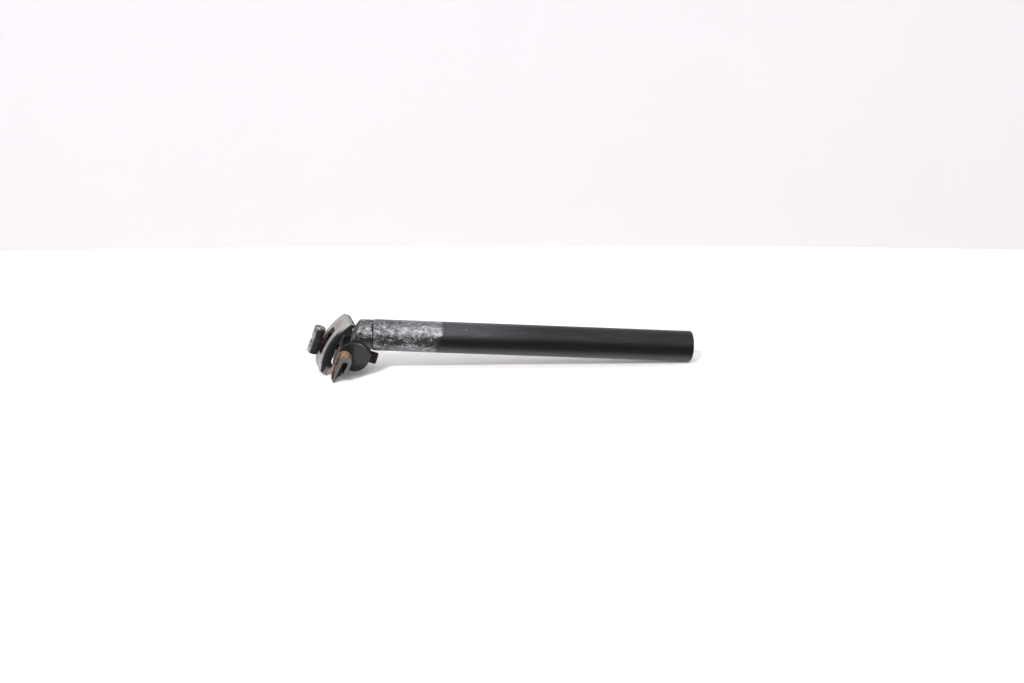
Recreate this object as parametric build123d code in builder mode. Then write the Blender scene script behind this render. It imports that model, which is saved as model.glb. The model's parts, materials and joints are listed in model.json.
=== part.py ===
from build123d import *
import os
from math import atan2, cos, radians, sin, sqrt, tan

# A bicycle seat post lying on a floor, its saddle clamp slackened: the upper plate and the
# barrel nut have turned about the bolt, as after the saddle's rails were taken out.
# +X runs towards the open end of the tube, +Y to the far side, +Z up. Sizes in mm.

# Tube
tube_d = 27.2
tube_wall = 2.3
tube_len = 280.0
tube_end_chamfer = 1.0
tube_top_chamfer = 0.8

# Head, bonded into the top of the tube
neck_step = 0.5
neck_chamfer = 0.7
spigot_len = 32.0
spigot_lead = 1.0
bond_gap = 0.05
slant_top_reach = 10.5
slant_deg = 26.0
slant_chamfer = 0.8

# Cross cylinder of the head, on which the clamp tilts
cradle_ahead = 15.0
cradle_drop = 2.4
cradle_r = 13.0
cradle_half = 15.0
cradle_chamfer = 0.8
bolt_lean_deg = 16.5
seat_gap = 0.08

# Tilt of the clamp on the cross cylinder, both ways from where it lies
tilt_back_deg = 2.5
tilt_forward_deg = 4.0
tilt_margin_deg = 1.5

# Clamp bolt, an M6 socket cap screw
bolt_d = 6.0
bolt_len = 50.0
bolt_head_d = 10.0
bolt_head_h = 6.0
bolt_socket = 5.0
bolt_socket_depth = 3.2
bolt_head_chamfer = 0.5
bolt_tip_chamfer = 0.7
bolt_slack = 0.35
thread_gap = 0.08

# Saddle washer under the bolt's head
washer_d = 11.0
washer_min_t = 1.2

# Saddle rails that the clamp holds
rail_d = 7.0
rail_spacing = 44.0
rail_slack = 0.1

# Lower clamp
wing_side_gap = 0.4
wing_lip = 1.4
wing_top = 13.7
wing_low = 1.4
wing_front = 3.5
wing_front_r = 5.8
wing_low_rear = -9.5
wing_heel_level = 6.6
wing_heel = -17.5
wing_tip_in_level = 8.8
wing_tip_in = -23.0
wing_tip_level = 10.4
wing_tip = -23.8
wing_top_rear = -20.0
wing_chamfer = 1.2
rail_level = 15.0
pocket_w = 4.4
pocket_depth = 9.4
pocket_level = 6.4
pocket_top = -4.9
pocket_lean_deg = 6.0
pocket_run = 30.0
bridge_top = 15.2
bridge_low = 8.0
bridge_front = 5.6
bridge_rear = -12.2
web_crest = 14.0
web_top = 12.4
web_shoulder = -15.5
web_low = 5.5
web_front = -11.4
web_rear = -20.0

# Upper clamp plate
plate_len = 50.8
plate_w = 22.0
plate_outer_r = 52.0
plate_t = 7.4
plate_edge = 2.0
foot_level = -13.4
foot_start = 13.5
foot_ramp = 2.0
belly_start = 2.0
belly_level = -10.4
plate_groove_offset = 2.2
plate_slot_len = 15.0
plate_slot_w = 9.6
plate_seat_len = 25.0
plate_seat_gap = 0.15
plate_seat_rise = 1.6

# How the slack plate hangs on the bolt
plate_lift = 4.3
plate_up = 2.6
plate_side = 1.0
plate_pitch_deg = 10.8
plate_roll_deg = 17.5

# Barrel nut
nut_d = 10.0
nut_len = 24.5
nut_chamfer = 0.8
nut_slack = 2.3

# Radii that follow from the sizes above
tube_r = tube_d / 2
neck_r = tube_r - neck_step
spigot_r = tube_r - tube_wall - bond_gap
groove_r = rail_d / 2 + rail_slack
bolt_r = bolt_d / 2
wing_inner = cradle_half + wing_side_gap
wing_outer = rail_spacing / 2 + groove_r + wing_lip
seat_r = cradle_r + seat_gap
bolt_seat = -cradle_r - washer_min_t

# The slack plate stands off the lower clamp's bridge, and the nut off the plate
plate_reach = bridge_top + plate_t + plate_lift
plate_rail_level = foot_level - plate_groove_offset
nut_reach = plate_reach + nut_d / 2 + nut_slack

# The post lies on the open end of the tube and on the rear tips of the lower clamp
lean = radians(bolt_lean_deg)
cradle_axis_f = -(tube_r + cradle_drop)
tip_a = cradle_ahead + wing_tip_level * cos(lean) - wing_tip * sin(lean)
tip_f = cradle_axis_f + wing_tip_level * sin(lean) + wing_tip * cos(lean)
lie = atan2(-tip_f - tube_r, tip_a + tube_len - tube_end_chamfer)
ring_z = (tube_len - tube_end_chamfer) * sin(lie) + tube_r * cos(lie)

# The frame's origin is midway between the nut's outer end and the tube's open end
nut_corner_n = nut_reach + nut_d / 2 - nut_chamfer / 2
nut_corner_g = -nut_len / 2
nut_corner_a = cradle_ahead + nut_corner_n * cos(lean) - nut_corner_g * sin(lean)
nut_corner_f = cradle_axis_f + nut_corner_n * sin(lean) + nut_corner_g * cos(lean)
left_reach = nut_corner_a * cos(lie) - nut_corner_f * sin(lie)
right_reach = tube_len * cos(lie) + (tube_r - tube_end_chamfer) * sin(lie)
ring_x = (left_reach - right_reach) / 2

# Directions: along the post to its head, across it upwards, and towards the near side
along = Vector(-cos(lie), 0, sin(lie))
across = Vector(sin(lie), 0, cos(lie))
near = Vector(0, -1, 0)
ring = Vector(ring_x, 0, ring_z)

# Directions of the clamp: out along the bolt, and forward along the rails
bolt_dir = along * cos(lean) + across * sin(lean)
rail_dir = across * cos(lean) - along * sin(lean)
cradle = ring + along * cradle_ahead + across * cradle_axis_f

# Directions of the slack plate: along it, across it and out of its face
near_axis = Axis((0, 0, 0), near)
plate_out_flat = bolt_dir.rotate(near_axis, -plate_pitch_deg)
plate_long = rail_dir.rotate(near_axis, -plate_pitch_deg)
plate_axis = Axis((0, 0, 0), plate_long)
plate_out = plate_out_flat.rotate(plate_axis, plate_roll_deg)
plate_cross = near.rotate(plate_axis, plate_roll_deg)
plate_at = cradle + bolt_dir * plate_reach + rail_dir * plate_up + near * plate_side

# The barrel nut lies across the bolt, in line with where the rails would run
nut_at = cradle + bolt_dir * nut_reach

# Working planes
post_side = Plane(origin=ring, x_dir=along, z_dir=-near)
tube_down = Plane(origin=ring, x_dir=near, z_dir=-along)
neck_up = Plane(origin=ring, x_dir=near, z_dir=along)
clamp_side = Plane(origin=cradle, x_dir=bolt_dir, z_dir=-near)
bolt_up = Plane(origin=cradle + bolt_dir * bolt_seat, x_dir=near, z_dir=bolt_dir)
bolt_down = Plane(origin=cradle + bolt_dir * bolt_seat, x_dir=near, z_dir=-bolt_dir)
plate_side_plane = Plane(origin=plate_at, x_dir=plate_long, z_dir=plate_cross)
plate_face = Plane(origin=plate_at, x_dir=plate_long, z_dir=plate_out)
plate_end = Plane(origin=plate_at + plate_out * plate_seat_rise, x_dir=plate_cross, z_dir=plate_long)
nut_end = Plane(origin=nut_at, x_dir=bolt_dir, z_dir=rail_dir)
nut_across = Plane(origin=nut_at, x_dir=rail_dir, z_dir=bolt_dir)

# Lengths for cuts that run clear through
clear = 2 * (tube_d + rail_spacing)

os.makedirs("parts", exist_ok=True)

# Tube: drawn aluminium, open at the bottom, its ends broken with a small chamfer
with BuildPart() as tube:
    with BuildSketch(tube_down):
        Circle(tube_r)
        Circle(tube_r - tube_wall, mode=Mode.SUBTRACT)
    extrude(amount=tube_len)
    down_axis = Axis(ring, -along)
    top_rim = tube.faces().sort_by(down_axis)[0].outer_wire().edges()
    bottom_rim = tube.faces().sort_by(down_axis)[-1].outer_wire().edges()
    chamfer(top_rim, tube_top_chamfer)
    chamfer(bottom_rim, tube_end_chamfer)

tube.part.label = "tube"
export_step(tube.part, "parts/tube.step")

# Head: forged aluminium neck, cut on a slant, with a cross cylinder behind the post's axis
slant = radians(slant_deg)
slant_run = 2 * tube_d
neck_len = slant_top_reach + 2 * neck_r * tan(slant)
with BuildPart() as head:
    with BuildSketch(neck_up):
        Circle(neck_r)
    extrude(amount=neck_len)
    chamfer(head.faces().sort_by(down_axis)[-1].edges(), neck_chamfer)
    with BuildSketch(post_side):
        Polygon(
            (slant_top_reach, neck_r),
            (slant_top_reach - slant_run * tan(slant), neck_r + slant_run),
            (slant_top_reach + slant_run, neck_r + slant_run),
            (slant_top_reach + slant_run, neck_r - slant_run),
            (slant_top_reach + slant_run * tan(slant), neck_r - slant_run),
            align=None,
        )
    extrude(amount=tube_d, both=True, mode=Mode.SUBTRACT)
    slant_face = head.faces().filter_by(GeomType.PLANE).sort_by(down_axis)[0]
    chamfer(slant_face.edges(), slant_chamfer)
    with BuildSketch(tube_down):
        Circle(spigot_r)
    extrude(amount=spigot_len)
    chamfer(head.faces().sort_by(down_axis)[-1].edges(), spigot_lead)
    with BuildSketch(clamp_side):
        Circle(cradle_r)
    extrude(amount=cradle_half, both=True)
    discs = head.faces().filter_by(GeomType.PLANE).sort_by(Axis.Y)
    chamfer(discs[0].edges() + discs[-1].edges(), cradle_chamfer)
    slot_half = bolt_r + bolt_slack
    slot_end = cradle_r + washer_min_t
    back_reach = slot_half + slot_end * tan(radians(tilt_back_deg + tilt_margin_deg))
    forward_reach = slot_half + slot_end * tan(radians(tilt_forward_deg + tilt_margin_deg))
    with BuildSketch(clamp_side):
        Polygon(
            (slot_end, back_reach),
            (0, slot_half),
            (-slot_end, forward_reach),
            (-slot_end, -back_reach),
            (0, -slot_half),
            (slot_end, -forward_reach),
            align=None,
        )
    extrude(amount=slot_half, both=True, mode=Mode.SUBTRACT)

head.part.label = "head"
export_step(head.part, "parts/head.step")

# Lower clamp: cast steel, a saddle-shaped bridge on the cross cylinder with a wing on each side
# and a low web across the back
wing_outline = [
    (wing_top, wing_front),
    (wing_top, wing_top_rear),
    (wing_tip_level, wing_tip),
    (wing_tip_in_level, wing_tip_in),
    (wing_heel_level, wing_heel),
    (wing_low, wing_low_rear),
    (wing_low, wing_front),
]
pocket_lean = radians(pocket_lean_deg)
pocket_r = pocket_w / 2
pocket_e = (pocket_r * cos(pocket_lean), pocket_r * sin(pocket_lean))
pocket_far = (
    pocket_level + pocket_run * sin(pocket_lean),
    pocket_top - pocket_run * cos(pocket_lean),
)
with BuildPart() as lower_clamp:
    for side in (-1, 1):
        with BuildSketch(clamp_side.offset(side * wing_inner)) as wing:
            Polygon(*wing_outline, align=None)
            fillet(wing.vertices().sort_by(Axis.Y)[-2:], wing_front_r)
        extrude(amount=side * (wing_outer - wing_inner))
    with BuildSketch(clamp_side):
        Polygon(
            (bridge_top, bridge_front),
            (bridge_low, bridge_front),
            (bridge_low, bridge_rear),
            (bridge_top, bridge_rear),
            align=None,
        )
    extrude(amount=wing_inner, both=True)
    with BuildSketch(clamp_side):
        Polygon(
            (web_crest, web_front),
            (web_low, web_front),
            (web_low, web_rear),
            (web_top, web_rear),
            (web_top, web_shoulder),
            (web_crest, bridge_rear),
            align=None,
        )
    extrude(amount=wing_inner, both=True)
    with BuildSketch(clamp_side):
        Circle(seat_r)
    extrude(amount=wing_inner, both=True, mode=Mode.SUBTRACT)
    with BuildSketch(bolt_up):
        Circle(bolt_r + bolt_slack)
    extrude(amount=clear, mode=Mode.SUBTRACT)
    for side in (-1, 1):
        groove_at = cradle + bolt_dir * rail_level + near * (side * rail_spacing / 2)
        with BuildSketch(Plane(origin=groove_at, x_dir=near, z_dir=rail_dir)):
            Circle(groove_r)
        extrude(amount=clear, both=True, mode=Mode.SUBTRACT)
        with BuildSketch(Plane(origin=cradle, x_dir=near * side, z_dir=rail_dir * -side)):
            Polygon(
                (wing_outer, wing_top),
                (wing_outer - wing_chamfer, wing_top),
                (wing_outer, wing_top - wing_chamfer),
                align=None,
            )
        extrude(amount=clear, both=True, mode=Mode.SUBTRACT)
        with BuildSketch(clamp_side.offset(side * wing_outer)):
            with Locations((pocket_level, pocket_top)):
                Circle(pocket_r)
            Polygon(
                (pocket_level + pocket_e[0], pocket_top + pocket_e[1]),
                (pocket_level - pocket_e[0], pocket_top - pocket_e[1]),
                (pocket_far[0] - pocket_e[0], pocket_far[1] - pocket_e[1]),
                (pocket_far[0] + pocket_e[0], pocket_far[1] + pocket_e[1]),
                align=None,
            )
        extrude(amount=-side * pocket_depth, mode=Mode.SUBTRACT)

lower_clamp.part.label = "lower_clamp"
export_step(lower_clamp.part, "parts/lower_clamp.step")

# Upper clamp: an arched cast plate with a seat for the barrel nut and a groove for each rail
half_len = plate_len / 2
outer_drop = plate_outer_r - sqrt(plate_outer_r**2 - half_len**2)
with BuildPart() as upper_clamp:
    with BuildSketch(plate_side_plane):
        with BuildLine():
            ThreePointArc((-half_len, -outer_drop), (0, 0), (half_len, -outer_drop))
            Polyline(
                (half_len, -outer_drop),
                (half_len, foot_level),
                (foot_start + foot_ramp, foot_level),
                (foot_start, -plate_t),
                (belly_start, -plate_t),
                (-foot_start, belly_level),
                (-foot_start - foot_ramp, foot_level),
                (-half_len, foot_level),
                (-half_len, -outer_drop),
            )
        make_face()
    extrude(amount=plate_w / 2, both=True)
    out_axis = Axis(plate_at, plate_out)
    outer_face = upper_clamp.faces().filter_by(GeomType.CYLINDER).sort_by(out_axis)[-1]
    chamfer(outer_face.edges().filter_by(GeomType.CIRCLE), plate_edge)
    with BuildSketch(plate_end.offset(-plate_seat_len / 2)):
        Circle(nut_d / 2 + plate_seat_gap)
    extrude(amount=plate_seat_len, mode=Mode.SUBTRACT)
    with BuildSketch(plate_face):
        SlotOverall(plate_slot_len, plate_slot_w)
    extrude(amount=clear, both=True, mode=Mode.SUBTRACT)
    for side in (-1, 1):
        groove_at = plate_at + plate_long * (side * rail_spacing / 2) + plate_out * plate_rail_level
        with BuildSketch(Plane(origin=groove_at, x_dir=plate_long, z_dir=plate_cross)):
            Circle(groove_r)
        extrude(amount=plate_w, both=True, mode=Mode.SUBTRACT)

upper_clamp.part.label = "upper_clamp"
export_step(upper_clamp.part, "parts/upper_clamp.step")

# Clamp bolt: steel socket cap screw, from under the head up into the barrel nut
with BuildPart() as clamp_bolt:
    with BuildSketch(bolt_up):
        Circle(bolt_r)
    extrude(amount=bolt_len)
    bolt_axis = Axis(cradle, bolt_dir)
    chamfer(clamp_bolt.faces().sort_by(bolt_axis)[-1].edges(), bolt_tip_chamfer)
    with BuildSketch(bolt_down):
        Circle(bolt_head_d / 2)
    extrude(amount=bolt_head_h)
    chamfer(clamp_bolt.faces().sort_by(bolt_axis)[0].edges(), bolt_head_chamfer)
    with BuildSketch(bolt_down.offset(bolt_head_h)):
        RegularPolygon(bolt_socket / 2, 6, major_radius=False)
    extrude(amount=-bolt_socket_depth, mode=Mode.SUBTRACT)

clamp_bolt.part.label = "clamp_bolt"
export_step(clamp_bolt.part, "parts/clamp_bolt.step")

# Saddle washer: steel, hollowed to the cross cylinder on one side, flat under the bolt's head
with BuildPart() as washer:
    with BuildSketch(bolt_up):
        Circle(washer_d / 2)
        Circle(bolt_r + bolt_slack, mode=Mode.SUBTRACT)
    extrude(amount=cradle_r)
    with BuildSketch(clamp_side):
        Circle(seat_r)
    extrude(amount=cradle_half, both=True, mode=Mode.SUBTRACT)

washer.part.label = "washer"
export_step(washer.part, "parts/washer.step")

# Barrel nut: steel, with a threaded hole across its middle
with BuildPart() as barrel_nut:
    with BuildSketch(nut_end):
        Circle(nut_d / 2)
    extrude(amount=nut_len / 2, both=True)
    chamfer(barrel_nut.edges().filter_by(GeomType.CIRCLE), nut_chamfer)
    with BuildSketch(nut_across):
        Circle(bolt_r + thread_gap)
    extrude(amount=nut_d, both=True, mode=Mode.SUBTRACT)

barrel_nut.part.label = "barrel_nut"
export_step(barrel_nut.part, "parts/barrel_nut.step")
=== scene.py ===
import json
import math

import bmesh
import bpy
from mathutils import Matrix, Vector


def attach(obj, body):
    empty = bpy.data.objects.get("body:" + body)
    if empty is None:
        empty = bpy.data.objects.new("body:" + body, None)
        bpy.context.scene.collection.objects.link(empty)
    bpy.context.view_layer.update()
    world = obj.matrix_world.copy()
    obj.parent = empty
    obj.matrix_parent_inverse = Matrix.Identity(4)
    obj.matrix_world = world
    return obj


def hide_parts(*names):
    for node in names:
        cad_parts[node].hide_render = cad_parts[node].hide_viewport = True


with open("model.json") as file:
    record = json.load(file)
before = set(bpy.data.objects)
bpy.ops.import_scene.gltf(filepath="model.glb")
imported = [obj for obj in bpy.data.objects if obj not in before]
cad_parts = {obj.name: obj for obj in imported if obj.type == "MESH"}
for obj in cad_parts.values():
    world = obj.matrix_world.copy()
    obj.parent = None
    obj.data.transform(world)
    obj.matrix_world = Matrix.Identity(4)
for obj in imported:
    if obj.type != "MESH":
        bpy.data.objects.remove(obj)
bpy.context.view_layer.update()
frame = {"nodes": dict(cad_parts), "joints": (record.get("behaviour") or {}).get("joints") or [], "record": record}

# Tube: drawn aluminium with a satin black finish, open at the bottom and bonded to the head at the top.
# The stretch that stood out of the bicycle's frame is chipped to bare metal down to an uneven line, and
# the stretch that the frame gripped is clean but for a few nicks.
MM = 0.001
mounts = {mount["name"]: mount for mount in frame["record"]["mounts"]}
post_down = Vector(mounts["post_wall"]["axis"])
mount_below_ring = 171 * MM
ring = Vector(mounts["post_wall"]["pos_m"]) - post_down * mount_below_ring
far_side = Vector((0, 1, 0))
near_side = -far_side
post_up = far_side.cross(-post_down)
tube_length = 280 * MM
tube_bore_r = 11.3 * MM
grip_line = 63 * MM
line_wobble = 2.4 * MM
line_slope = 3.5 * MM

black_paint = (0.004, 0.004, 0.0045, 1)
dull_film = (0.036, 0.034, 0.033, 1)
painted_floor_reflection = (0.150, 0.147, 0.152, 1)
hazy_paint_and_sheen = (0.062, 0.060, 0.067, 1)
scuffed_dark = (0.125, 0.125, 0.130, 1)
scuffed_light = (0.32, 0.32, 0.335, 1)
bare_metal = (0.52, 0.52, 0.54, 1)
raw_dark = (0.15, 0.145, 0.14, 1)
raw_light = (0.40, 0.39, 0.38, 1)

# Each pair is where a mark begins and ends, in metres: below the ring, then out from the tube's axis,
# then above the axis.
joint_groove = (0.30 * MM, 0.50 * MM)
line_blur = (grip_line - 4.8 * MM, grip_line + 1.2 * MM)
line_wear = (15 * MM, 50 * MM)
rubbed_stretch = (grip_line, grip_line + 95 * MM)
worn_rim = (tube_length - 1.2 * MM, tube_length - 0.2 * MM)
cut_face = (tube_length - 0.12 * MM, tube_length - 0.06 * MM)
bore_skin = (tube_bore_r + 0.15 * MM, tube_bore_r + 0.35 * MM)
line_rise = (1.5 * MM, 7.0 * MM)
worn_top = (0.5 * MM, 6.0 * MM)
worn_low = (-6.5 * MM, -2.0 * MM)
dust_and_sheen_top = (0.5 * MM, 8.5 * MM)
dust_and_sheen_low = (-10.0 * MM, -2.5 * MM)
floor_reflection_low = (-13.0 * MM, -1.2 * MM)

# Each pair is the level of a pattern, or of the wear itself, at which a mark begins and is full.
scuff_levels = (0.40, 0.54)
bare_levels = (0.56, 0.69)
rub_levels = (0.34, 0.66)
nick_zone_levels = (0.56, 0.62)
nick_levels = (0.68, 0.74)
rim_levels = (0.42, 0.62)
scratch_levels = (0.5, 0.72)

# Shares of streaks, chips and specks in the wear, and what else adds to it or takes from it.
tube_shares = (0.28, 0.46, 0.36)
tube_hold = 0.145
top_wear = (0.085, 0.135)
low_wear = 0.10
gripped_hold = 0.30
nick_wear = 0.465
rim_wear = 0.55

# How much dust and painted sheen lie on the paint, how much painted floor reflection lies on its underside, and
# how rough, metallic and raised each state of it is.
top_dust_and_sheen = (0.34, 1.12)
low_dust_and_sheen = 0.75
sheen_haze_share = 0.7
sheen_scratch_share = 0.5
sheen_even_share = 0.5
tube_floor_reflection = 0.30
chip_film = (0.2, 1.0)
paint_roughness = (0.27, 0.37)
scuff_roughness = (0.34, 0.54)
raw_roughness = 0.42
scuff_metal = 0.72
bare_metal_more = 0.16
raw_metal_share = 0.85
grain_height = 0.2
scuff_height = 0.3
bare_height = 0.2
drawn_height = 0.3


class Field:
    """A number or vector that varies over a surface; a sum with it becomes nodes."""

    def __init__(self, graph, socket):
        self.graph = graph
        self.socket = socket

    def output(self, name):
        """Another output of the node that this field comes from."""
        return Field(self.graph, self.socket.node.outputs[name])

    def math(self, operation, *others):
        sockets = dict(enumerate((self,) + others))
        return self.graph.node("ShaderNodeMath", {"operation": operation}, sockets)

    def __add__(self, other):
        return self.math("ADD", other)

    def __radd__(self, other):
        return self.math("ADD", other)

    def __sub__(self, other):
        return self.math("SUBTRACT", other)

    def __rsub__(self, other):
        return self.math("MULTIPLY_ADD", -1.0, other)

    def __mul__(self, other):
        return self.math("MULTIPLY", other)

    def __rmul__(self, other):
        return self.math("MULTIPLY", other)

    def __truediv__(self, other):
        return self.math("DIVIDE", other)

    def __rtruediv__(self, other):
        return self.graph.node("ShaderNodeMath", {"operation": "DIVIDE"}, {0: other, 1: self})

    def __neg__(self):
        return self.math("MULTIPLY", -1.0)

    def __abs__(self):
        return self.math("ABSOLUTE")

    def least(self, other):
        return self.math("MINIMUM", other)

    def most(self, other):
        return self.math("MAXIMUM", other)

    def rise(self, low, high):
        """0 below low, 1 above high, smooth between."""
        settings = {"interpolation_type": "SMOOTHSTEP"}
        sockets = {"Value": self, "From Min": low, "From Max": high}
        return self.graph.node("ShaderNodeMapRange", settings, sockets)

    def fall(self, low, high):
        """1 below low, 0 above high, smooth between."""
        return 1 - self.rise(low, high)

    def blend(self, first, second):
        """Numbers first to second as the field goes from 0 to 1."""
        return self * (second - first) + first

    def fray(self, width):
        """The field, which is 0.5 on average, as a wander of that width about 0."""
        return (self - 0.5) * width


class Graph:
    """A node tree that is written as sums of its fields."""

    def __init__(self, tree):
        self.tree = tree
        self.tree.nodes.clear()

    def node(self, kind, settings=None, sockets=None, output=0):
        """A new node with its settings and inputs, as the field of one of its outputs."""
        made = self.tree.nodes.new(kind)
        for key, value in (settings or {}).items():
            setattr(made, key, value)
        for key, value in (sockets or {}).items():
            if isinstance(value, Field):
                self.tree.links.new(value.socket, made.inputs[key])
            else:
                made.inputs[key].default_value = value
        return Field(self, made.outputs[output]) if made.outputs else None


class Finish(Graph):
    """A node material, its patterns laid out in the object's own coordinates."""

    bump_strength = 0.8

    def __init__(self, name):
        self.material = bpy.data.materials.new(name)
        self.material.use_nodes = True
        super().__init__(self.material.node_tree)
        self.place = self.node("ShaderNodeTexCoord", output="Object")

    def vector(self, operation, first, second=None, output=0):
        sockets = {0: first} if second is None else {0: first, 1: second}
        return self.node("ShaderNodeVectorMath", {"operation": operation}, sockets, output)

    def along(self, direction, origin):
        """Metres from origin along a direction."""
        dot = self.vector("DOT_PRODUCT", self.place, direction, "Value")
        return dot - Vector(direction).dot(origin)

    def off_axis(self, direction, origin):
        """Metres from the line through origin along a direction."""
        offset = self.vector("SUBTRACT", self.place, origin)
        return self.vector("LENGTH", self.vector("CROSS_PRODUCT", offset, direction), None, "Value")

    def noise(self, scale, detail, roughness, stretch=(1, 1, 1)):
        at = self.vector("MULTIPLY", self.place, stretch)
        sockets = {"Vector": at, "Scale": scale, "Detail": detail, "Roughness": roughness}
        return self.node("ShaderNodeTexNoise", None, sockets)

    def mix(self, amount, first, second):
        """Colours first to second as amount goes from 0 to 1, by the node's colour sockets 6, 7 and 2."""
        sockets = {0: amount, 6: first, 7: second}
        return self.node("ShaderNodeMix", {"data_type": "RGBA"}, sockets, 2)

    def surface(self, color, roughness, metallic, height, depth, gloss=0.5):
        relief = {"Strength": self.bump_strength, "Distance": depth, "Height": height}
        bump = self.node("ShaderNodeBump", None, relief)
        sockets = {"Base Color": color, "Roughness": roughness, "Metallic": metallic, "Normal": bump}
        sockets["Specular IOR Level"] = gloss
        shader = self.node("ShaderNodeBsdfPrincipled", None, sockets)
        self.node("ShaderNodeOutputMaterial", None, {"Surface": shader})

    def dress(self, piece):
        piece.data.materials.clear()
        piece.data.materials.append(self.material)


def chipping(patterns, shares, hold):
    """How far paint is worn, from the shares of its streaks, chips and specks less what it withstands."""
    streaks, chips, specks = patterns
    return streaks * shares[0] + chips * shares[1] + specks * shares[2] - hold


def worn_paint(finish, wear, paint, haze):
    """Paint that wear, 0 to 1, takes through grey scuffs to bright bare metal."""
    scuffed = wear.rise(*scuff_levels)
    bare = wear.rise(*bare_levels)
    grain = finish.noise(scale=1500, detail=2, roughness=0.6)
    rubbed = finish.noise(scale=360, detail=4, roughness=0.65, stretch=(0.6, 1, 1)).rise(*rub_levels)
    color = finish.mix(scuffed, paint, finish.mix(rubbed, scuffed_dark, scuffed_light))
    color = finish.mix(bare, color, bare_metal)
    roughness = scuffed.blend(haze.blend(*paint_roughness), grain.blend(*scuff_roughness))
    metallic = scuffed * scuff_metal + bare * bare_metal_more
    height = grain * grain_height - scuffed * scuff_height - bare * bare_height
    return color, roughness, metallic, height


tube_finish = Finish("tube_black")
below_ring = tube_finish.along(post_down, ring)
height_up = tube_finish.along(post_up, ring)
off_centre = tube_finish.off_axis(post_down, ring)
wobble = tube_finish.noise(scale=300, detail=4, roughness=0.6) * line_wobble
slope = height_up.fall(*line_rise) * line_slope
exposed = (below_ring + wobble + slope).fall(*line_blur)
streaks = tube_finish.noise(scale=110, detail=3, roughness=0.55, stretch=(0.5, 1, 1))
chips = tube_finish.noise(scale=400, detail=4, roughness=0.62, stretch=(0.6, 1, 1))
specks = tube_finish.noise(scale=950, detail=2, roughness=0.6, stretch=(0.7, 1, 1))
haze = tube_finish.noise(scale=45, detail=4, roughness=0.6, stretch=(0.18, 1, 1))
drawn = tube_finish.noise(scale=900, detail=3, roughness=0.5, stretch=(0.02, 1, 1))
scratches = tube_finish.noise(scale=700, detail=3, roughness=0.6, stretch=(0.03, 1, 1))
nick_zone = tube_finish.noise(scale=30, detail=1, roughness=0.5).rise(*nick_zone_levels)
nicks = tube_finish.noise(scale=520, detail=2, roughness=0.4, stretch=(0.7, 1, 1)).rise(*nick_levels)
groove = below_ring.fall(*joint_groove)
wear = chipping((streaks, chips, specks), tube_shares, tube_hold)
wear = wear + height_up.rise(*worn_top) * below_ring.rise(*line_wear).blend(*top_wear)
wear = wear + height_up.fall(*worn_low) * low_wear - (1 - exposed) * gripped_hold
rim = below_ring.rise(*worn_rim) * specks.rise(*rim_levels)
wear = (wear * (1 - groove)).most(nicks * nick_zone * nick_wear).most(rim * rim_wear)
# Painted sheen, with some dust: the paint is painted lighter along the top and along the bottom, a painted
# reflection of the light above and of the floor below, patchy with haze and scratches.
dust_and_sheen = height_up.rise(*dust_and_sheen_top) * below_ring.fall(*rubbed_stretch).blend(*top_dust_and_sheen)
dust_and_sheen = dust_and_sheen + height_up.fall(*dust_and_sheen_low) * low_dust_and_sheen
dust_and_sheen = dust_and_sheen * (haze * sheen_haze_share + scratches.rise(*scratch_levels) * sheen_scratch_share + sheen_even_share)
paint = tube_finish.mix(dust_and_sheen, black_paint, hazy_paint_and_sheen)
# Painted reflection: the tube's underside is painted a lighter grey, standing in for the floor's light on it.
paint = tube_finish.mix(height_up.fall(*floor_reflection_low) * tube_floor_reflection, paint, painted_floor_reflection)
paint = tube_finish.mix(exposed * chips.blend(*chip_film), paint, dull_film)
color, roughness, metallic, height = worn_paint(tube_finish, wear, paint, haze)
raw = off_centre.fall(*bore_skin).most(below_ring.rise(*cut_face))
tube_finish.surface(
    color=tube_finish.mix(raw, color, tube_finish.mix(drawn, raw_dark, raw_light)),
    roughness=raw.blend(roughness, raw_roughness),
    metallic=metallic.most(raw * raw_metal_share),
    height=height + drawn * raw * drawn_height,
    depth=0.05 * MM,
    gloss=0.11,
)
tube_finish.dress(frame["nodes"]["tube"])

# Head: forged aluminium in matt black, bonded into the tube. Its neck is cut on a slant at the front,
# and its cross cylinder, on which the saddle clamp tilts, shows a clean round face on each side.
joints = {joint["name"]: joint for joint in frame["joints"]}
cradle = Vector(joints["saddle_tilt"]["pos_m"])
bolt_dir = Vector(joints["plate_swivel"]["axis"])
rail_dir = far_side.cross(bolt_dir)
disc_r = 13.0 * MM
disc_half = 15.0 * MM
neck_r = 13.1 * MM
slant_reach = 10.5 * MM
slant = math.radians(26)

slant_paint = (0.060, 0.060, 0.064, 1)
barrel_grease_and_shade = (0.003, 0.003, 0.003, 1)
disc_paint = (0.0235, 0.0225, 0.024, 1)
disc_dust = (0.038, 0.037, 0.039, 1)
disc_painted_shade = (0.004, 0.004, 0.004, 1)

# Each pair is where a face or a mark begins and ends: on the neck, then on the cross cylinder.
neck_groove = (0.10 * MM, 0.25 * MM)
neck_top = (-3 * MM, 5 * MM)
neck_floor_reflection_low = (-9.5 * MM, -1.2 * MM)
slant_face = (-0.30 * MM, -0.05 * MM)
slant_rim = (-2.0 * MM, -0.9 * MM)
cylinder_skin = (disc_r + 0.05 * MM, disc_r + 0.4 * MM)
barrel_end = (disc_half - 1.9 * MM, disc_half - 1.5 * MM)
disc_rim = (disc_half - 1.6 * MM, disc_half - 1.0 * MM)
disc_face = (disc_half - 0.9 * MM, disc_half - 0.7 * MM)
disc_rim_r = (disc_r - 1.1 * MM, disc_r - 0.5 * MM)
crown_up = (4 * MM, 9 * MM)
crown_back = (-1 * MM, 4 * MM)
wing_shadow_reach = (-1.5 * MM, 2.0 * MM)
low_shade_reach = (4.5 * MM, 9.5 * MM)
shade_fray = 3 * MM

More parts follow.
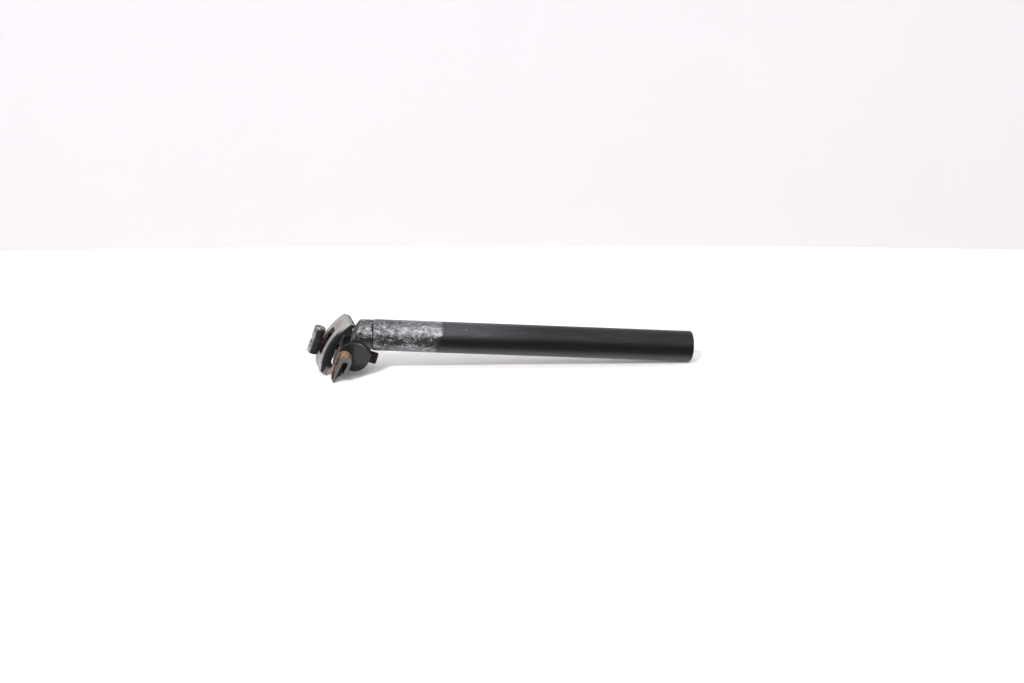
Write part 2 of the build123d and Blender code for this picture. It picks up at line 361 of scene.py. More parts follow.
# Shares of the wear, and amounts of haze, painted floor reflection, painted shade and roughness.
neck_shares = (0.36, 0.44, 0.32)
neck_hold = 0.205
neck_top_wear = 0.12
slant_rim_wear = 0.04
cradle_shares = (0.3, 0.5, 0.3)
cradle_hold = 0.24
barrel_hold = 0.25
disc_rim_wear = 0.04
disc_crown_wear = 0.05
haze_levels = (0.4, 0.7)
neck_haze = 0.25
neck_floor_reflection = 0.80
disc_shade_cover = 0.9
disc_rougher = 0.16
slant_rougher = 0.3
barrel_rougher = 0.6
mottle_height = 0.2

head_finish = Finish("head_black")
side_reach = abs(head_finish.along(far_side, cradle))
off_cradle = head_finish.off_axis(far_side, cradle)
above_ring = head_finish.along(-post_down, ring)
height_up = head_finish.along(post_up, ring)
past_slant = above_ring * math.cos(slant) + height_up * math.sin(slant)
past_slant = past_slant - (slant_reach * math.cos(slant) + neck_r * math.sin(slant))
on_slant = past_slant.rise(*slant_face)
slant_edge = past_slant.rise(*slant_rim) * (1 - on_slant)
on_cradle = off_cradle.fall(*cylinder_skin)
on_disc = on_cradle * side_reach.rise(*disc_face)
on_barrel = on_cradle * side_reach.fall(*barrel_end)
disc_edge = on_cradle * side_reach.rise(*disc_rim) * off_cradle.rise(*disc_rim_r)
disc_crown = disc_edge * head_finish.along(post_up, cradle).rise(*crown_up)
disc_crown = disc_crown * head_finish.along(post_down, cradle).rise(*crown_back)
streaks = head_finish.noise(scale=170, detail=4, roughness=0.6)
chips = head_finish.noise(scale=480, detail=4, roughness=0.62)
specks = head_finish.noise(scale=1100, detail=2, roughness=0.6)
haze = head_finish.noise(scale=60, detail=4, roughness=0.6)
mottle = head_finish.noise(scale=320, detail=4, roughness=0.6)
neck_wear = chipping((streaks, chips, specks), neck_shares, neck_hold)
neck_wear = neck_wear + height_up.rise(*neck_top) * neck_top_wear + slant_edge * slant_rim_wear
neck_wear = neck_wear * (1 - on_slant) * (1 - on_cradle) * (1 - above_ring.fall(*neck_groove))
cradle_wear = chipping((streaks, chips, specks), cradle_shares, cradle_hold)
cradle_wear = cradle_wear - on_barrel * barrel_hold
cradle_wear = cradle_wear + disc_edge * disc_rim_wear + disc_crown * disc_crown_wear
wear = neck_wear.most(cradle_wear * on_cradle)
paint = head_finish.mix(haze.rise(*haze_levels) * neck_haze, black_paint, hazy_paint_and_sheen)
# Painted reflection: the neck's underside is painted a lighter grey, standing in for the floor's light on it.
paint = head_finish.mix(height_up.fall(*neck_floor_reflection_low) * neck_floor_reflection, paint, painted_floor_reflection)
paint = head_finish.mix(on_slant, paint, slant_paint)
# The barrel under the clamp is painted near black: grease, and painted shade from the clamp over it.
paint = head_finish.mix(on_barrel, paint, barrel_grease_and_shade)
# Painted shade: the disc is painted near black beside the wing, a painted shadow of the wing, and towards its
# bottom, painted shade under the clamp.
wing_shadow = (head_finish.along(-post_down, cradle) + mottle.fray(shade_fray)).rise(*wing_shadow_reach)
low_shade = (head_finish.along(-post_up, cradle) + mottle.fray(shade_fray)).rise(*low_shade_reach)
disc_color = head_finish.mix(mottle, disc_paint, disc_dust)
disc_color = head_finish.mix(wing_shadow.most(low_shade) * disc_shade_cover, disc_color, disc_painted_shade)
paint = head_finish.mix(on_disc, paint, disc_color)
color, roughness, metallic, height = worn_paint(head_finish, wear, paint, haze)
head_finish.surface(
    color=color,
    roughness=roughness + on_disc * disc_rougher + on_slant * slant_rougher + on_barrel * barrel_rougher,
    metallic=metallic,
    height=height + mottle * mottle_height,
    depth=0.07 * MM,
    gloss=0.22,
)
head_finish.dress(frame["nodes"]["head"])

# Lower clamp: cast steel, a bridge that rides on the cross cylinder with a wing down each side, a groove
# along each wing for a saddle rail and a pocket cast into its outer face. It is stained and rusting.
wing_outer = 27.0 * MM
wing_inner = 15.4 * MM
wing_top = 13.7 * MM
pocket_level = 6.4 * MM
pocket_top = -4.9 * MM
pocket_half = 2.2 * MM
pocket_lean = math.radians(6)
rail_level = 15.0 * MM
rail_side = 22.0 * MM
groove_r = 3.6 * MM
cast_voxel = 0.26 * MM
cast_rounding = 5

blue_dark = (0.075, 0.076, 0.082, 1)
blue_light = (0.145, 0.147, 0.155, 1)
green_dark = (0.070, 0.071, 0.064, 1)
green_light = (0.145, 0.146, 0.132, 1)
inner_light = (0.20, 0.17, 0.15, 1)
inner_dark = (0.11, 0.085, 0.07, 1)
tan_light = (0.41, 0.28, 0.145, 1)
tan_dark = (0.10, 0.07, 0.038, 1)
orange_light = (0.17, 0.065, 0.018, 1)
orange_dark = (0.035, 0.012, 0.007, 1)
groove_dark = (0.030, 0.016, 0.014, 1)
groove_light = (0.17, 0.085, 0.065, 1)
bridge_dark = (0.006, 0.004, 0.0035, 1)
bridge_light = (0.045, 0.022, 0.013, 1)
pocket_shade = (0.010, 0.005, 0.004, 1)

# Each pair is where a face or a mark begins and ends: out to the side, along the bolt, along the rail,
# then off the middle of the pocket and of the groove.
wing_side = (wing_inner - 0.3 * MM, wing_inner + 0.3 * MM)
wing_face = (wing_outer - 0.35 * MM, wing_outer - 0.15 * MM)
lip_side = (wing_outer - 1.9 * MM, wing_outer - 1.4 * MM)
pocket_mouth = (wing_outer - 1.0 * MM, wing_outer - 0.2 * MM)
pocket_floor = (wing_inner + 1 * MM, wing_inner + 1.6 * MM)
lip_level = (wing_top - 2.2 * MM, wing_top - 1.2 * MM)
green_level = (5.0 * MM, 9.5 * MM)
front_rust_level = (4.5 * MM, 7.0 * MM)
front_rust_reach = (0.4 * MM, 2.0 * MM)
front_rust_fray = 4 * MM
rear_tip_reach = (-22.5 * MM, -19.5 * MM)
pocket_end = (pocket_top + pocket_half, pocket_top + pocket_half + 0.6 * MM)
pocket_wall = (pocket_half + 0.05 * MM, pocket_half + 0.35 * MM)
groove_wall = (groove_r + 0.1 * MM, groove_r + 0.4 * MM)

# Shares of the rust, the levels at which it and its shades begin and are full, and the surface's values.
blotch_rust = 0.9
grain_rust = 0.2
front_rust_more = 0.45
lip_rust_more = 0.45
face_rust_less = 0.16
tip_rust_less = 0.2
rust_levels = (0.57, 0.87)
tan_levels = (0.35, 0.65)
orange_levels = (0.30, 0.55)
brown_levels = (0.4, 0.7)
groove_cover = 0.9
bridge_shade_cover = 0.95
cast_roughness = (0.42, 0.58)
rust_roughness = 0.82
face_metal = 0.3
clamp_grain_height = 0.5
clamp_blotch_height = 0.6


def cast_piece(node):
    """The CAD solid with its corners rounded as a casting's are."""
    solid = bmesh.new()
    solid.from_mesh(frame["nodes"][node].data)
    bmesh.ops.remove_doubles(solid, verts=solid.verts, dist=0.002 * MM)
    mesh = bpy.data.meshes.new(node + "_cast")
    solid.to_mesh(mesh)
    solid.free()
    piece = bpy.data.objects.new(node + "_cast", mesh)
    bpy.context.collection.objects.link(piece)
    remesh = piece.modifiers.new("casting", "REMESH")
    remesh.mode = "VOXEL"
    remesh.voxel_size = cast_voxel
    remesh.use_smooth_shade = True
    rounding = piece.modifiers.new("rounding", "SMOOTH")
    rounding.factor = 0.5
    rounding.iterations = cast_rounding
    evaluated = piece.evaluated_get(bpy.context.evaluated_depsgraph_get())
    piece.modifiers.clear()
    piece.data = bpy.data.meshes.new_from_object(evaluated)
    return piece


lower_clamp = cast_piece("lower_clamp")
clamp_finish = Finish("clamp_rusty")
out_level = clamp_finish.along(bolt_dir, cradle)
forward = clamp_finish.along(rail_dir, cradle)
side_reach = abs(clamp_finish.along(far_side, cradle))
pocket_across = (out_level - pocket_level) * math.cos(pocket_lean)
pocket_across = pocket_across + (forward - pocket_top) * math.sin(pocket_lean)
in_pocket = abs(pocket_across).fall(*pocket_wall) * side_reach.fall(*pocket_mouth)
in_pocket = in_pocket * side_reach.rise(*pocket_floor) * forward.fall(*pocket_end)
on_wing = side_reach.rise(*wing_side)
on_face = side_reach.rise(*wing_face)
groove_across = side_reach - rail_side
groove_up = out_level - rail_level
groove_off = (groove_across * groove_across + groove_up * groove_up).math("SQRT")
in_groove = groove_off.fall(*groove_wall)
outer_lip = out_level.rise(*lip_level) * on_wing * side_reach.rise(*lip_side)
rear_tip = forward.fall(*rear_tip_reach)
blotch = clamp_finish.noise(scale=170, detail=5, roughness=0.62)
grain = clamp_finish.noise(scale=900, detail=4, roughness=0.6)
front_rust = (forward + blotch.fray(front_rust_fray)).rise(*front_rust_reach)
front_rust = front_rust * on_wing * out_level.rise(*front_rust_level)
rust_amount = blotch * blotch_rust + grain * grain_rust
rust_amount = rust_amount + front_rust * front_rust_more + outer_lip * lip_rust_more
rust_amount = rust_amount - on_face * face_rust_less - rear_tip * tip_rust_less
rust_amount = rust_amount.rise(*rust_levels)
blue_grey = clamp_finish.mix(grain, blue_dark, blue_light)
green_grey = clamp_finish.mix(grain, green_dark, green_light)
face_grey = clamp_finish.mix(out_level.rise(*green_level), blue_grey, green_grey)
cast_grey = clamp_finish.mix(on_face, clamp_finish.mix(blotch, inner_light, inner_dark), face_grey)
tan_rust = clamp_finish.mix(grain.rise(*tan_levels), tan_light, tan_dark)
orange_rust = clamp_finish.mix(blotch.rise(*orange_levels), orange_light, orange_dark)
color = clamp_finish.mix(rust_amount, cast_grey, clamp_finish.mix(front_rust, orange_rust, tan_rust))
groove_brown = clamp_finish.mix(blotch.rise(*brown_levels), groove_dark, groove_light)
color = clamp_finish.mix(in_groove * groove_cover, color, groove_brown)
# The bridge and the wings' inner sides are painted dark brown: rust, darkened as painted shade between the clamps.
bridge_rust_and_shade = clamp_finish.mix(blotch.rise(*brown_levels), bridge_dark, bridge_light)
color = clamp_finish.mix((1 - on_wing) * bridge_shade_cover, color, bridge_rust_and_shade)
# The pocket is painted near black, painted shade in its hollow.
clamp_finish.surface(
    color=clamp_finish.mix(in_pocket, color, pocket_shade),
    roughness=rust_amount.most(in_groove).blend(grain.blend(*cast_roughness), rust_roughness),
    metallic=(1 - rust_amount) * on_face * (1 - in_pocket) * face_metal,
    height=grain * clamp_grain_height + blotch * clamp_blotch_height,
    depth=0.30 * MM,
    gloss=0.22,
)
clamp_finish.dress(lower_clamp)
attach(lower_clamp, "clamp")
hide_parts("lower_clamp")

# Upper clamp: an arched cast plate, pale and worn on its outer face, black on its edges and underneath,
# with a rust-stained seat where the barrel nut would lie. It hangs slack on the bolt, turned askew.
plate_pitch = math.radians(10.8)
plate_roll = math.radians(17.5)
plate_reach = 26.9 * MM
plate_up = 2.6 * MM
plate_shift = 1.0 * MM
plate_outer_r = 52.0 * MM
plate_half_len = 25.4 * MM
plate_half_w = 11.0 * MM
plate_edge = 2.0 * MM
seat_r = 5.15 * MM
seat_rise = 1.6 * MM
pitch_turn = Matrix.Rotation(-plate_pitch, 3, near_side)
plate_long = pitch_turn @ rail_dir
roll_turn = Matrix.Rotation(plate_roll, 3, plate_long)
plate_out = roll_turn @ (pitch_turn @ bolt_dir)
plate_cross = roll_turn @ near_side
plate_at = cradle + bolt_dir * plate_reach + rail_dir * plate_up + near_side * plate_shift

pale_light = (0.385, 0.38, 0.375, 1)
pale_dark = (0.245, 0.242, 0.24, 1)
halo_brown = (0.24, 0.14, 0.10, 1)
chamfer_painted_shade = (0.13, 0.125, 0.12, 1)
edge_dark = (0.003, 0.004, 0.0045, 1)
edge_light = (0.011, 0.014, 0.015, 1)
streak_brown = (0.10, 0.045, 0.028, 1)
foot_tan = (0.22, 0.165, 0.145, 1)
seat_dark = (0.015, 0.009, 0.009, 1)
seat_light = (0.085, 0.042, 0.031, 1)

# Each pair is where a face or a mark begins and ends: in from the arch, along the plate, outward, across
# it, then off the seat's axis. A fray is how far an edge of the paleness wanders.
outer_skin = (1.85 * MM, 2.25 * MM)
end_skin = (3.4 * MM, 4.4 * MM)
seat_depth = (0.25 * MM, 0.6 * MM)
streak_depth = (4 * MM, 7 * MM)
end_face = (plate_half_len - 0.5 * MM, plate_half_len - 0.2 * MM)
wrap_end = (11 * MM, 18 * MM)
chamfer_start = (-19 * MM, -9 * MM)
foot_end = (-20 * MM, -17 * MM)
foot_level = (-9.0 * MM, -7.5 * MM)
wrap_side = (9.2 * MM, 9.9 * MM)
chamfer_side = (plate_half_w - plate_edge, plate_half_w - plate_edge + 0.5 * MM)
seat_wall = (seat_r + 0.15 * MM, seat_r + 0.35 * MM)
halo_reach = (seat_r, seat_r + 1.6 * MM)
grain_fray = 1.2 * MM
stain_fray = 1.4 * MM
wrap_fray_share = 0.5
end_fray_share = 2

# Levels at which stains begin and are full, how much they cover, and the surface's values.
halo_levels = (0.42, 0.6)
streak_levels = (0.52, 0.68)
foot_levels = (0.45, 0.75)
foot_grain = 0.4
pale_stain = 0.7
pale_grain = 0.3
halo_cover = 0.55
chamfer_shade_cover = 0.8
edge_roughness = (0.5, 0.7)
worn_roughness = (0.36, 0.56)
worn_metal = 0.35
plate_grain_height = 0.4
plate_stain_height = 0.5

upper_clamp = cast_piece("upper_clamp")
plate_finish = Finish("plate_grey")
lengthwise = plate_finish.along(plate_long, plate_at)
crosswise = plate_finish.along(plate_cross, plate_at)
outward = plate_finish.along(plate_out, plate_at)
arc_depth = plate_outer_r - plate_finish.off_axis(plate_cross, plate_at - plate_out * plate_outer_r)
seat_off = plate_finish.off_axis(plate_long, plate_at + plate_out * seat_rise)
stain = plate_finish.noise(scale=150, detail=5, roughness=0.6)
grain = plate_finish.noise(scale=800, detail=4, roughness=0.6)
streaks = plate_finish.noise(scale=130, detail=4, roughness=0.6)
edge_fray = grain.fray(grain_fray) + stain.fray(stain_fray)
edge_wrap = (abs(crosswise) + edge_fray * wrap_fray_share).rise(*wrap_side) * lengthwise.fall(*wrap_end)
on_outer = (arc_depth + edge_fray).fall(*outer_skin) * (1 - edge_wrap)
on_end = lengthwise.rise(*end_face) * (arc_depth + edge_fray * end_fray_share).fall(*end_skin)
in_seat = seat_off.fall(*seat_wall) * arc_depth.rise(*seat_depth)
seat_halo = seat_off.fall(*halo_reach) * stain.rise(*halo_levels)
chamfer = abs(crosswise).rise(*chamfer_side) * lengthwise.rise(*chamfer_start)
pale = plate_finish.mix(stain * pale_stain + grain * pale_grain, pale_light, pale_dark)
pale = plate_finish.mix(seat_halo * halo_cover, pale, halo_brown)
# The chamfer is painted a darker grey than the rest of the pale face: painted shade on a face that turns towards
# the lamp.
pale = plate_finish.mix(chamfer * chamfer_shade_cover, pale, chamfer_painted_shade)
under = plate_finish.mix(grain, edge_dark, edge_light)
under = plate_finish.mix(streaks.rise(*streak_levels) * arc_depth.rise(*streak_depth), under, streak_brown)
foot = lengthwise.fall(*foot_end) * outward.fall(*foot_level)
foot = foot * (stain + grain * foot_grain).rise(*foot_levels)
under = plate_finish.mix(foot, under, foot_tan)
color = plate_finish.mix(on_outer.most(on_end), under, pale)
worn = on_outer.most(on_end) * (1 - in_seat)
plate_finish.surface(
    color=plate_finish.mix(in_seat, color, plate_finish.mix(stain, seat_dark, seat_light)),
    roughness=worn.blend(stain.blend(*edge_roughness), grain.blend(*worn_roughness)),
    metallic=worn * worn_metal,
    height=grain * plate_grain_height + stain * plate_stain_height,
    depth=0.22 * MM,
    gloss=0.25,
)
plate_finish.dress(upper_clamp)
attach(upper_clamp, "plate")
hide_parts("upper_clamp")

# Clamp bolt: a steel socket cap screw with a rolled thread and a knurled head, rusted brown all over. It
# runs up through the washer, the head and both clamps into the barrel nut.
bolt_sizes = {
    "Shank radius": 3.0 * MM,
    "Length": 50.0 * MM,
    "Thread length": 26.0 * MM,
    "Pitch": 1.0 * MM,
    "Thread depth": 0.58 * MM,
    "Tip chamfer": 0.7 * MM,
    "Head radius": 5.0 * MM,
    "Head height": 6.0 * MM,
    "Head chamfer": 0.5 * MM,
    "Knurl depth": 0.22 * MM,
    "Knurls": 36.0,
    "Socket half width": 2.5 * MM,
    "Socket depth": 3.2 * MM,
}
bolt_seat = -14.2 * MM
shank_share = 0.97
shank_overlap = 0.5 * MM
thread_flank = (0.08, 0.86)
thread_rows = (2, 304, 8, 2)
thread_turns = 40
head_rows = (2, 3, 3, 2, 8, 2, 2, 6, 2)
head_turns = 216
socket_end_rows = (5.0, 5.5)
knurl_start_rows = (10.0, 11.5)
knurl_end_rows = (16.5, 18.0)

thread_dark = (0.006, 0.003, 0.0027, 1)
thread_light = (0.030, 0.010, 0.006, 1)
head_dark = (0.005, 0.004, 0.0035, 1)
head_light = (0.036, 0.017, 0.010, 1)
socket_dark = (0.006, 0.004, 0.003, 1)
head_seat = (bolt_seat - 0.1 * MM, bolt_seat + 0.1 * MM)
socket_wall = (2.7 * MM, 3.0 * MM)
thread_rust_levels = (0.35, 0.65)
head_rust_levels = (0.42, 0.72)
socket_cover = 0.7
thread_roughness = 0.78
head_roughness = (0.5, 0.75)
head_metal = 0.3
bolt_grain_height = 0.5


class Shape(Graph):
    """A Geometry Nodes tree with a named input for each of its sizes."""

    seam = 0.004 * MM

    def __init__(self, name, sizes):
        super().__init__(bpy.data.node_groups.new(name, "GeometryNodeTree"))
        for label, size in sizes.items():
            socket = self.tree.interface.new_socket(label, in_out="INPUT", socket_type="NodeSocketFloat")
            socket.default_value = size
        self.tree.interface.new_socket("Finish", in_out="INPUT", socket_type="NodeSocketMaterial")
        self.tree.interface.new_socket("Geometry", in_out="OUTPUT", socket_type="NodeSocketGeometry")
        entry = self.node("NodeGroupInput").socket.node
        self.size = {socket.name: Field(self, socket) for socket in entry.outputs if socket.name}

    def lathe(self, profile, runs, turns):
        """A sheet of rows and turns: its row, how far round each point is, its radius and its height."""
        rows = sum(runs)
        sheet = {"Size X": 1.0, "Size Y": 1.0, "Vertices X": rows + 1, "Vertices Y": turns + 1}
        mesh = self.node("GeometryNodeMeshGrid", None, sheet)
        place = self.node("GeometryNodeInputPosition")
        across = self.node("ShaderNodeSeparateXYZ", None, {0: place})
        row = (across + 0.5) * rows
        angle = (across.output("Y") + 0.5) * math.tau
        radius, level = profile[0]
        start = 0
        for (r0, z0), (r1, z1), run in zip(profile, profile[1:], runs):
            part = ((row - start) / run).most(0.0).least(1.0)
            radius = part * (r1 - r0) + radius
            level = part * (z1 - z0) + level
            start += run
        return mesh, row, angle, radius, level

    def close(self, mesh, angle, radius, level):
        """The sheet bent round its axis and its seam and ends sewn up."""
        spot = {0: angle.math("COSINE") * radius, 1: angle.math("SINE") * radius, 2: level}
        place = self.node("ShaderNodeCombineXYZ", None, spot)
        bent = self.node("GeometryNodeSetPosition", None, {"Geometry": mesh, "Position": place})
        return self.node("GeometryNodeMergeByDistance", None, {"Geometry": bent, "Distance": self.seam})

    def end(self, *meshes):
        """The meshes joined, shaded smooth and given their finish, as the tree's result."""
        joined = self.node("GeometryNodeJoinGeometry")
        for mesh in meshes:
            self.tree.links.new(mesh.socket, joined.socket.node.inputs[0])
        smooth = self.node("GeometryNodeSetShadeSmooth", None, {"Geometry": joined, "Shade Smooth": True})
        whole = self.node("GeometryNodeRealizeInstances", None, {"Geometry": smooth})
        dressed = {"Geometry": whole, "Material": self.size["Finish"]}
        dressed = self.node("GeometryNodeSetMaterial", None, dressed)
        self.node("NodeGroupOutput", None, {"Geometry": dressed})

    def piece(self, name, sizes, material, matrix):
        """The tree's result at these sizes, as a plain mesh in its place."""
        holder = bpy.data.objects.new(name, bpy.data.meshes.new(name))
        bpy.context.collection.objects.link(holder)
        maker = holder.modifiers.new("maker", "NODES")
        maker.node_group = self.tree
        for socket in self.tree.interface.items_tree:
            if socket.in_out == "INPUT" and socket.name in sizes:
                maker[socket.identifier] = sizes[socket.name]
            if socket.name == "Finish":
                maker[socket.identifier] = material
        made = holder.evaluated_get(bpy.context.evaluated_depsgraph_get())
        mesh = bpy.data.meshes.new_from_object(made)
        holder.modifiers.clear()
        mesh.transform(matrix)
        holder.data = mesh
        return holder


screw = Shape("threaded_screw", bolt_sizes)
size = screw.size
thread_start = size["Length"] - size["Thread length"]
thread_profile = [
    (0.0, thread_start),
    (size["Shank radius"], thread_start),
    (size["Shank radius"], size["Length"] - size["Tip chamfer"]),
    (size["Shank radius"] - size["Tip chamfer"], size["Length"]),
    (0.0, size["Length"]),
]
mesh, _, angle, radius, level = screw.lathe(thread_profile, thread_rows, thread_turns)
turn = (level / size["Pitch"] - angle / math.tau).math("FRACT")
flank = abs(turn * 2 - 1)
root = size["Shank radius"] - size["Thread depth"]
ridge = root + flank.rise(*thread_flank) * size["Thread depth"]
thread = screw.close(mesh, angle, radius.least(ridge), level)

head_top = -size["Head height"]
socket_r = size["Socket half width"]
shank_r = size["Shank radius"] * shank_share
shank_end = thread_start + shank_overlap
head_profile = [
    (0.0, head_top + size["Socket depth"]),
    (socket_r, head_top + size["Socket depth"]),
    (socket_r, head_top),
    (size["Head radius"] - size["Head chamfer"], head_top),
    (size["Head radius"], head_top + size["Head chamfer"]),
    (size["Head radius"], -size["Head chamfer"]),
    (size["Head radius"] - size["Head chamfer"], 0.0),
    (shank_r, 0.0),
    (shank_r, shank_end),
    (0.0, shank_end),
]
mesh, row, angle, radius, level = screw.lathe(head_profile, head_rows, head_turns)
sixth_turn = math.pi / 3
from_flat = ((angle * (1 / sixth_turn)).math("FRACT") - 0.5) * sixth_turn
in_socket = row.fall(*socket_end_rows)
radius = radius * (1 + in_socket * (1 / from_flat.math("COSINE") - 1))
on_side = row.rise(*knurl_start_rows) * row.fall(*knurl_end_rows)
ridges = (angle * size["Knurls"]).math("COSINE") * 0.5 + 0.5
radius = radius - on_side * ridges * size["Knurl depth"]
head = screw.close(mesh, angle, radius, level)
screw.end(thread, head)

bolt_finish = Finish("bolt_rusty")
bolt_level = bolt_finish.along(bolt_dir, cradle)
bolt_off = bolt_finish.off_axis(bolt_dir, cradle)
blotch = bolt_finish.noise(scale=420, detail=5, roughness=0.65)
grain = bolt_finish.noise(scale=1500, detail=3, roughness=0.6)
on_head = bolt_level.fall(*head_seat)
in_socket = on_head * bolt_off.fall(*socket_wall)
# The thread's rust colours are painted darker: rust, and painted shade for the thread seen in the shadow between
# the nut and the plate.
thread_rust_and_shade = bolt_finish.mix(blotch.rise(*thread_rust_levels), thread_dark, thread_light)
head_brown = bolt_finish.mix(blotch.rise(*head_rust_levels), head_dark, head_light)
color = bolt_finish.mix(on_head, thread_rust_and_shade, head_brown)
bolt_finish.surface(
    color=bolt_finish.mix(in_socket * socket_cover, color, socket_dark),
    roughness=on_head.blend(thread_roughness, blotch.blend(*head_roughness)),
    metallic=on_head * head_metal,
    height=blotch + grain * bolt_grain_height,
    depth=0.12 * MM,
    gloss=0.35,
)
bolt_axes = Matrix((near_side, bolt_dir.cross(near_side), bolt_dir)).transposed()
bolt_place = Matrix.Translation(cradle + bolt_dir * bolt_seat) @ bolt_axes.to_4x4()
clamp_bolt = screw.piece("threaded_bolt", bolt_sizes, bolt_finish.material, bolt_place)
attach(clamp_bolt, "bolt")
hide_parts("clamp_bolt")

# Saddle washer: a small steel washer, spotted with rust and hollowed on one side to the cross cylinder.
# The bolt runs through it, and the bolt's head bears on its other side.
washer_steel = (0.15, 0.14, 0.125, 1)
washer_rust = (0.070, 0.034, 0.018, 1)
washer_rust_levels = (0.5, 0.66)
washer_roughness = (0.38, 0.8)
washer_metal = 0.8

washer_finish = Finish("washer_steel")
blotch = washer_finish.noise(scale=400, detail=5, roughness=0.6)
rusted = blotch.rise(*washer_rust_levels)
washer_finish.surface(
    color=washer_finish.mix(rusted, washer_steel, washer_rust),
    roughness=rusted.blend(*washer_roughness),
    metallic=(1 - rusted) * washer_metal,
    height=blotch,
    depth=0.1 * MM,
)
washer_finish.dress(frame["nodes"]["washer"])

# Barrel nut: a turned steel cylinder with the bolt's thread through its middle, its plating dulled and
# stained brown. It runs on the end of the bolt.
nut_reach = 34.2 * MM
plating_dark = (0.24, 0.235, 0.23, 1)
plating_light = (0.52, 0.51, 0.50, 1)
stain_dark = (0.05, 0.036, 0.03, 1)
stain_light = (0.20, 0.16, 0.13, 1)
nut_painted_shade = (0.005, 0.0045, 0.005, 1)
hole_brown = (0.03, 0.018, 0.013, 1)
nut_top_end = (9.5 * MM, 12.2 * MM)
hole_wall = (3.15 * MM, 3.5 * MM)
inner_face = (nut_reach + 1.4 * MM, nut_reach + 3.4 * MM)
inner_fray = 3 * MM
turned_levels = (0.3, 0.7)
stain_levels = (0.52, 0.64)
top_end_stain = 0.10
top_end_unshaded = 0.8
nut_shade_cover = 0.97
plating_roughness = (0.30, 0.44)
stain_roughness = 0.62
plating_metal = 0.92
stain_metal = 0.15
nut_blotch_height = 0.6
nut_grain_height = 0.4

nut_finish = Finish("nut_steel")
hole_off = nut_finish.off_axis(bolt_dir, cradle)
blotch = nut_finish.noise(scale=240, detail=5, roughness=0.62)
grain = nut_finish.noise(scale=1400, detail=3, roughness=0.6)
turned = nut_finish.noise(scale=160, detail=3, roughness=0.5)
top_end = nut_finish.along(rail_dir, cradle).rise(*nut_top_end)
stained = (blotch + top_end * top_end_stain).rise(*stain_levels)
in_hole = hole_off.fall(*hole_wall)
# Painted shade: the nut's side towards the plate is painted near black, all but its top end.
inner_side = (nut_finish.along(bolt_dir, cradle) + blotch.fray(inner_fray)).fall(*inner_face)
plate_side_shade = inner_side * (1 - top_end * top_end_unshaded)
plating = nut_finish.mix(turned.rise(*turned_levels), plating_dark, plating_light)
color = nut_finish.mix(stained, plating, nut_finish.mix(grain, stain_dark, stain_light))
color = nut_finish.mix(plate_side_shade * nut_shade_cover, color, nut_painted_shade)
dulled = stained.most(in_hole).most(plate_side_shade)
nut_finish.surface(
    color=nut_finish.mix(in_hole, color, hole_brown),
    roughness=dulled.blend(grain.blend(*plating_roughness), stain_roughness),
    metallic=dulled.blend(plating_metal, stain_metal),
    height=blotch * nut_blotch_height + grain * nut_grain_height,
    depth=0.12 * MM,
    gloss=0.22,
)
nut_finish.dress(frame["nodes"]["barrel_nut"])

# Floor and wall: a white paper floor that runs back to an off-white wall, which bows a little. The wall's colour
# is painted lighter higher up, and both are painted a little dimmer to the right, as painted light.
sheet_reach = 3.0
sheet_columns = 24
floor_front = 0.62
wall_turn = math.radians(-5.2)
wall_middle = Vector((0.050, 0.412, 0))
wall_bow_r = 7.3
paper = (0.85, 0.84, 0.845, 1)
wall_low = (0.588, 0.568, 0.586, 1)
wall_high = (0.690, 0.666, 0.690, 1)
painted_dimming = (0.28, 0.26, 0.26, 1)
tint_heights = (-0.1, 0.36)
dim_stretch = (-0.20, 1.10)
dim_amount = 0.15
seen_glow = 0.13


def sheet_piece(name, near_edge, far_edge, tint, top_tint):
    """A sheet of the set, its own colour plus a little that only the view and reflections see."""
    columns = len(near_edge)
    faces = [(i, i + 1, columns + i + 1, columns + i) for i in range(columns - 1)]
    mesh = bpy.data.meshes.new(name)
    mesh.from_pydata([tuple(point) for point in near_edge + far_edge], [], faces)
    piece = bpy.data.objects.new(name, mesh)
    bpy.context.collection.objects.link(piece)
    finish = Finish(name)
    path = finish.node("ShaderNodeLightPath", output="Is Camera Ray")
    seen = path.most(path.output("Is Glossy Ray")).most(path.output("Is Transmission Ray"))
    upward = finish.along((0, 0, 1), Vector())
    rightward = finish.along((1, 0, 0), Vector())
    shade = finish.mix(upward.rise(*tint_heights), tint, top_tint)
    shade = finish.mix(rightward.rise(*dim_stretch) * dim_amount, shade, painted_dimming)
    matte = finish.node("ShaderNodeBsdfDiffuse", None, {"Color": shade})
    glow = finish.node("ShaderNodeEmission", None, {"Color": shade, "Strength": seen * seen_glow})
    both = finish.node("ShaderNodeAddShader", None, {0: matte, 1: glow})
    behind = finish.node("ShaderNodeNewGeometry", output="Backfacing")
    sides = {0: behind, 1: both, 2: finish.node("ShaderNodeBsdfTransparent")}
    one_sided = finish.node("ShaderNodeMixShader", None, sides)
    finish.node("ShaderNodeOutputMaterial", None, {"Surface": one_sided})
    finish.dress(piece)


wall_frame = Matrix.Rotation(wall_turn, 3, "Z")
steps = [sheet_reach * (2 * i / sheet_columns - 1) for i in range(sheet_columns + 1)]
bow = [Vector((step, -step * step / (2 * wall_bow_r), 0)) for step in steps]
wall_foot = [wall_middle + wall_frame @ point for point in bow]
floor_edge = [Vector((point.x, -floor_front, 0)) for point in wall_foot]
wall_top = [point + Vector((0, 0, sheet_reach)) for point in wall_foot]
sheet_piece("floor", floor_edge, wall_foot, paper, paper)
sheet_piece("wall", wall_foot, wall_top, wall_low, wall_high)

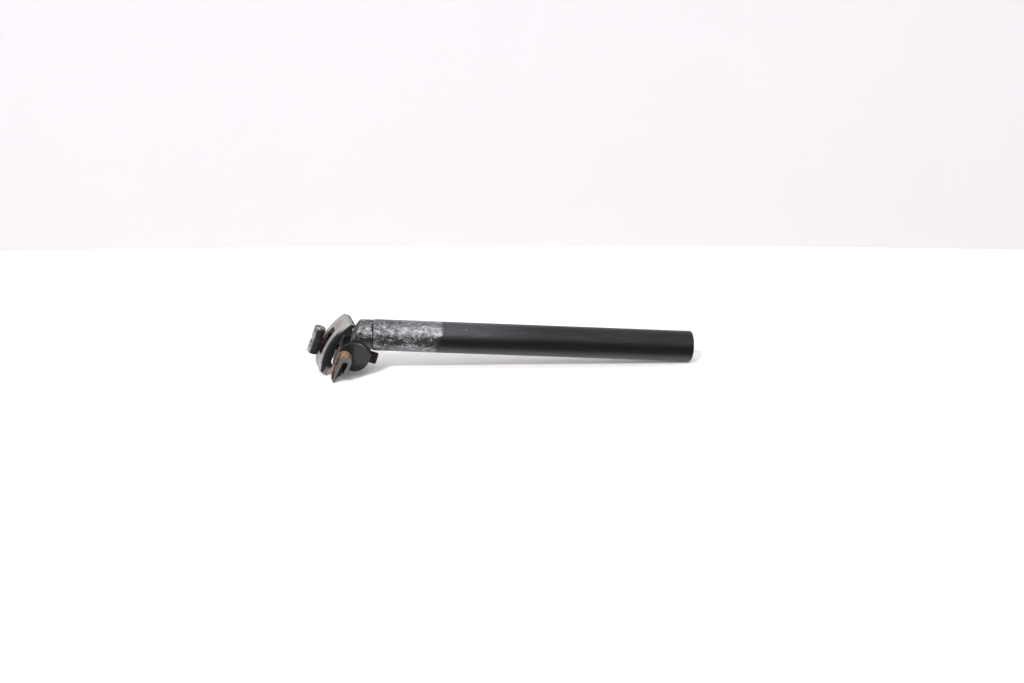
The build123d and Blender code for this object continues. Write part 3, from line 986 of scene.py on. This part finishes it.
# Light: one key lamp, high in front on the left, a bright strip overhead and a dim room round it, which
# is darker in front. Seen directly, the room is plain white.
key_travel = Vector((0.417, 0.640, -0.695))
key_data = bpy.data.lights.new("key", "SUN")
key_data.energy = 2.35
key_data.angle = math.radians(4)
key = bpy.data.objects.new("key", key_data)
key.rotation_euler = key_travel.to_track_quat("-Z", "Y").to_euler()
bpy.context.collection.objects.link(key)

room_level = 0.20
overhead_level = 3.4
front_loss = 0.19
strip_up = (0.22, 0.48)
strip_middle = 0.03
strip_side = (0.10, 0.36)
strip_ahead = (-0.45, 0.35)
strip_ahead_loss = 0.28
front_ahead = (-0.70, -0.20)
front_up = (0.14, 0.38)

room = bpy.data.worlds.new("room")
room.use_nodes = True
bpy.context.scene.world = room
room_light = Graph(room.node_tree)
toward = room_light.node("ShaderNodeTexCoord", output="Generated")
sideways = room_light.node("ShaderNodeSeparateXYZ", None, {0: toward})
ahead = sideways.output("Y")
upward = sideways.output("Z")
overhead = upward.rise(*strip_up) * abs(sideways + strip_middle).fall(*strip_side)
overhead = overhead * (1 - ahead.rise(*strip_ahead) * strip_ahead_loss)
dark_front = ahead.fall(*front_ahead) * upward.fall(*front_up)
light_level = room_level + overhead * overhead_level - dark_front * front_loss
seen = room_light.node("ShaderNodeLightPath", output="Is Camera Ray")
glow = {"Color": (1, 1, 1, 1), "Strength": light_level + seen * (1 - light_level)}
backdrop = room_light.node("ShaderNodeBackground", None, glow)
room_light.node("ShaderNodeOutputWorld", None, {"Surface": backdrop})

# Camera: the photograph's view, from in front of the post and a little left of its middle, looking down
# at about twenty degrees. The focal length is in the photograph's pixels.
picture_width = 1024
focal_pixels = 1300
sensor_width = 36.0
camera_at = Vector((-0.095812, -1.065616, 0.392583))
camera_toward = Vector((0.092349, 0.940805, -0.326125))
camera_data = bpy.data.cameras.new("camera")
camera_data.sensor_width = sensor_width
camera_data.lens = focal_pixels * sensor_width / picture_width
camera = bpy.data.objects.new("camera", camera_data)
camera.location = camera_at
camera.rotation_euler = camera_toward.to_track_quat("-Z", "Y").to_euler()
bpy.context.collection.objects.link(camera)
bpy.context.scene.camera = camera
bpy.context.scene.view_settings.view_transform = "Standard"
